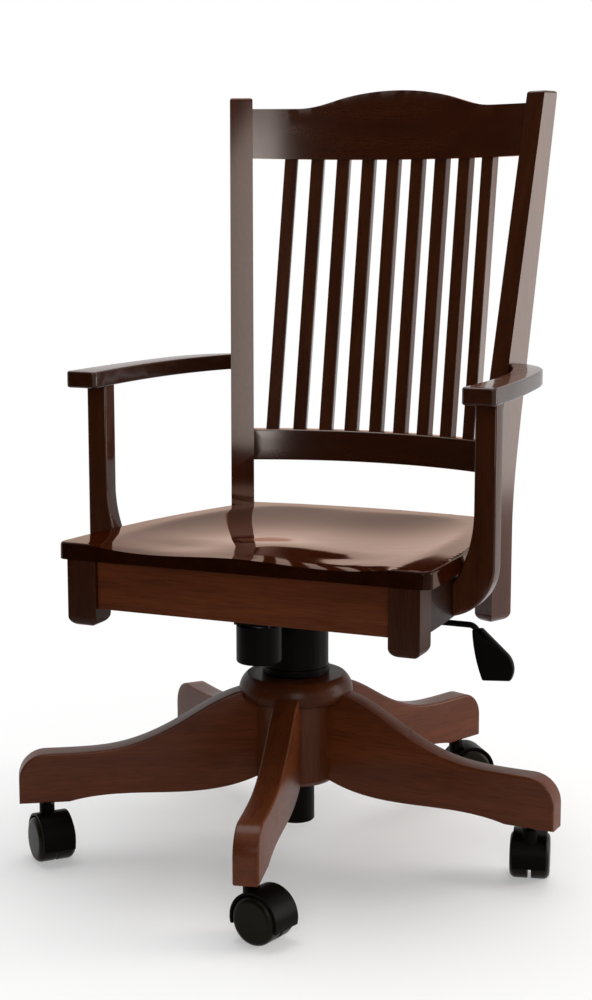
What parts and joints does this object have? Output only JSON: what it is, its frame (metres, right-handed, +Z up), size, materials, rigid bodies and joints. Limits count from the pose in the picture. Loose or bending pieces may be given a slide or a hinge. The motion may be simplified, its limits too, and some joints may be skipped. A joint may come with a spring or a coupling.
{
  "type": "swivel desk chair",
  "caption": "Lacquered wooden swivel desk chair: scooped saddle seat, bowed slatted back, curved arms, height lever and tilt knob, on a curved-leg caster base.",
  "frame": {"origin": "on the floor, on the axis of the gas column", "axes": "+Z up; the sitter faces -Y; +X is to the right for someone who looks at the chair's front"},
  "size_m": [0.6919, 0.7566, 1.021],
  "materials": {
    "lacquered_wood": "gloss",
    "black_plastic": "satin",
    "caster_nylon": "satin",
    "black_steel": "satin",
    "bright_steel": "satin",
    "bushing_plastic": "matte"
  },
  "bodies": {
    "base": {"hub": "lacquered_wood", "hub_ring": "lacquered_wood", "hub_sleeve": "bright_steel", "leg_1": "lacquered_wood", "leg_2": "lacquered_wood", "leg_3": "lacquered_wood", "leg_4": "lacquered_wood", "leg_5": "lacquered_wood", "caster_sockets": "bright_steel", "cylinder_tube": "black_steel", "guide_bushing": "bushing_plastic", "thrust_bearing": "bright_steel", "column_cover_lower": "black_plastic"},
    "spindle": {"piston_rod": "bright_steel", "retainer_clip": "bright_steel"},
    "column": {"pressure_tube": "bright_steel", "column_cover_upper": "black_plastic", "mechanism_housing": "black_steel", "mechanism_pins": "bright_steel", "tension_bolt": "bright_steel", "tension_spring": "bright_steel"},
    "release_pin": {"release_pin": "bright_steel"},
    "knob": {"tension_knob": "black_plastic"},
    "lever": {"lever_rod": "black_steel", "lever_paddle": "black_plastic"},
    "seat": {"seat_plate": "black_steel", "seat_screws": "bright_steel", "seat": "lacquered_wood", "front_apron": "lacquered_wood", "right_side_apron": "lacquered_wood", "left_side_apron": "lacquered_wood", "rear_apron": "lacquered_wood", "right_front_foot": "lacquered_wood", "left_front_foot": "lacquered_wood", "right_back_post": "lacquered_wood", "left_back_post": "lacquered_wood", "crest_rail": "lacquered_wood", "lower_rail": "lacquered_wood", "back_slats": "lacquered_wood", "right_arm": "lacquered_wood", "left_arm": "lacquered_wood", "right_arm_post": "lacquered_wood", "left_arm_post": "lacquered_wood", "arm_bolts": "bright_steel"},
    "caster_1": {"caster_1_fork": "black_plastic"},
    "caster_1_left": {"caster_1_wheel_left": "caster_nylon"},
    "caster_1_right": {"caster_1_wheel_right": "caster_nylon"},
    "caster_2": {"caster_2_fork": "black_plastic"},
    "caster_2_left": {"caster_2_wheel_left": "caster_nylon"},
    "caster_2_right": {"caster_2_wheel_right": "caster_nylon"},
    "caster_3": {"caster_3_fork": "black_plastic"},
    "caster_3_left": {"caster_3_wheel_left": "caster_nylon"},
    "caster_3_right": {"caster_3_wheel_right": "caster_nylon"},
    "caster_4": {"caster_4_fork": "black_plastic"},
    "caster_4_left": {"caster_4_wheel_left": "caster_nylon"},
    "caster_4_right": {"caster_4_wheel_right": "caster_nylon"},
    "caster_5": {"caster_5_fork": "black_plastic"},
    "caster_5_left": {"caster_5_wheel_left": "caster_nylon"},
    "caster_5_right": {"caster_5_wheel_right": "caster_nylon"}
  },
  "joints": [
    {"name": "swivel", "type": "hinge", "parent": "base", "child": "spindle", "pos_m": [0, 0, 0.045], "axis": [0, 0, 1], "continuous": true},
    {"name": "lift", "type": "slide", "parent": "spindle", "child": "column", "axis": [0, 0, 1], "range_m": [0, 0.085]},
    {"name": "tilt", "type": "hinge", "parent": "column", "child": "seat", "pos_m": [0, -0.035, 0.356], "axis": [-1, 0, 0], "range_deg": [0, 10], "stiffness_Nm_per_rad": 150, "springref_deg": -22.92},
    {"name": "lever", "type": "hinge", "parent": "column", "child": "lever", "pos_m": [0.062, 0.025, 0.356], "axis": [0, -1, 0], "range_deg": [0, 2.2], "stiffness_Nm_per_rad": 6, "springref_deg": -2.86},
    {"name": "valve", "type": "slide", "parent": "column", "child": "release_pin", "axis": [0, 0, -1], "range_m": [0, 0.0024]},
    {"name": "tension", "type": "hinge", "parent": "column", "child": "knob", "pos_m": [0, -0.119, 0.3], "axis": [0, 0, 1], "range_deg": [0, 1080]},
    {"name": "caster_1_swivel", "type": "hinge", "parent": "base", "child": "caster_1", "pos_m": [0.08303, -0.32455, 0.09], "axis": [0, 0, 1], "continuous": true},
    {"name": "caster_1_left_roll", "type": "hinge", "parent": "caster_1", "child": "caster_1_left", "pos_m": [0.10108, -0.32858, 0.03], "axis": [0.2181, 0.9759, 0], "continuous": true},
    {"name": "caster_1_right_roll", "type": "hinge", "parent": "caster_1", "child": "caster_1_right", "pos_m": [0.10108, -0.32858, 0.03], "axis": [0.2181, 0.9759, 0], "continuous": true},
    {"name": "caster_2_swivel", "type": "hinge", "parent": "base", "child": "caster_2", "pos_m": [0.33432, -0.02133, 0.09], "axis": [0, 0, 1], "continuous": true},
    {"name": "caster_2_left_roll", "type": "hinge", "parent": "caster_2", "child": "caster_2_left", "pos_m": [0.33003, -0.00333, 0.03], "axis": [-0.9728, -0.2317, 0], "continuous": true},
    {"name": "caster_2_right_roll", "type": "hinge", "parent": "caster_2", "child": "caster_2_right", "pos_m": [0.33003, -0.00333, 0.03], "axis": [-0.9728, -0.2317, 0], "continuous": true},
    {"name": "caster_3_swivel", "type": "hinge", "parent": "base", "child": "caster_3", "pos_m": [0.12359, 0.31137, 0.09], "axis": [0, 0, 1], "continuous": true},
    {"name": "caster_3_left_roll", "type": "hinge", "parent": "caster_3", "child": "caster_3_left", "pos_m": [0.13817, 0.32276, 0.03], "axis": [-0.6157, 0.788, 0], "continuous": true},
    {"name": "caster_3_right_roll", "type": "hinge", "parent": "caster_3", "child": "caster_3_right", "pos_m": [0.13817, 0.32276, 0.03], "axis": [-0.6157, 0.788, 0], "continuous": true},
    {"name": "caster_4_swivel", "type": "hinge", "parent": "base", "child": "caster_4", "pos_m": [-0.25794, 0.21376, 0.09], "axis": [0, 0, 1], "continuous": true},
    {"name": "caster_4_left_roll", "type": "hinge", "parent": "caster_4", "child": "caster_4_left", "pos_m": [-0.26983, 0.19959, 0.03], "axis": [0.766, -0.6428, 0], "continuous": true},
    {"name": "caster_4_right_roll", "type": "hinge", "parent": "caster_4", "child": "caster_4_right", "pos_m": [-0.26983, 0.19959, 0.03], "axis": [0.766, -0.6428, 0], "continuous": true},
    {"name": "caster_5_swivel", "type": "hinge", "parent": "base", "child": "caster_5", "pos_m": [-0.28301, -0.17925, 0.09], "axis": [0, 0, 1], "continuous": true},
    {"name": "caster_5_left_roll", "type": "hinge", "parent": "caster_5", "child": "caster_5_left", "pos_m": [-0.26904, -0.19139, 0.03], "axis": [0.6561, 0.7547, 0], "continuous": true},
    {"name": "caster_5_right_roll", "type": "hinge", "parent": "caster_5", "child": "caster_5_right", "pos_m": [-0.26904, -0.19139, 0.03], "axis": [0.6561, 0.7547, 0], "continuous": true}
  ],
  "couplings": [
    {"joint": "valve", "follows": "lever", "m_per_rad": 0.062}
  ]
}
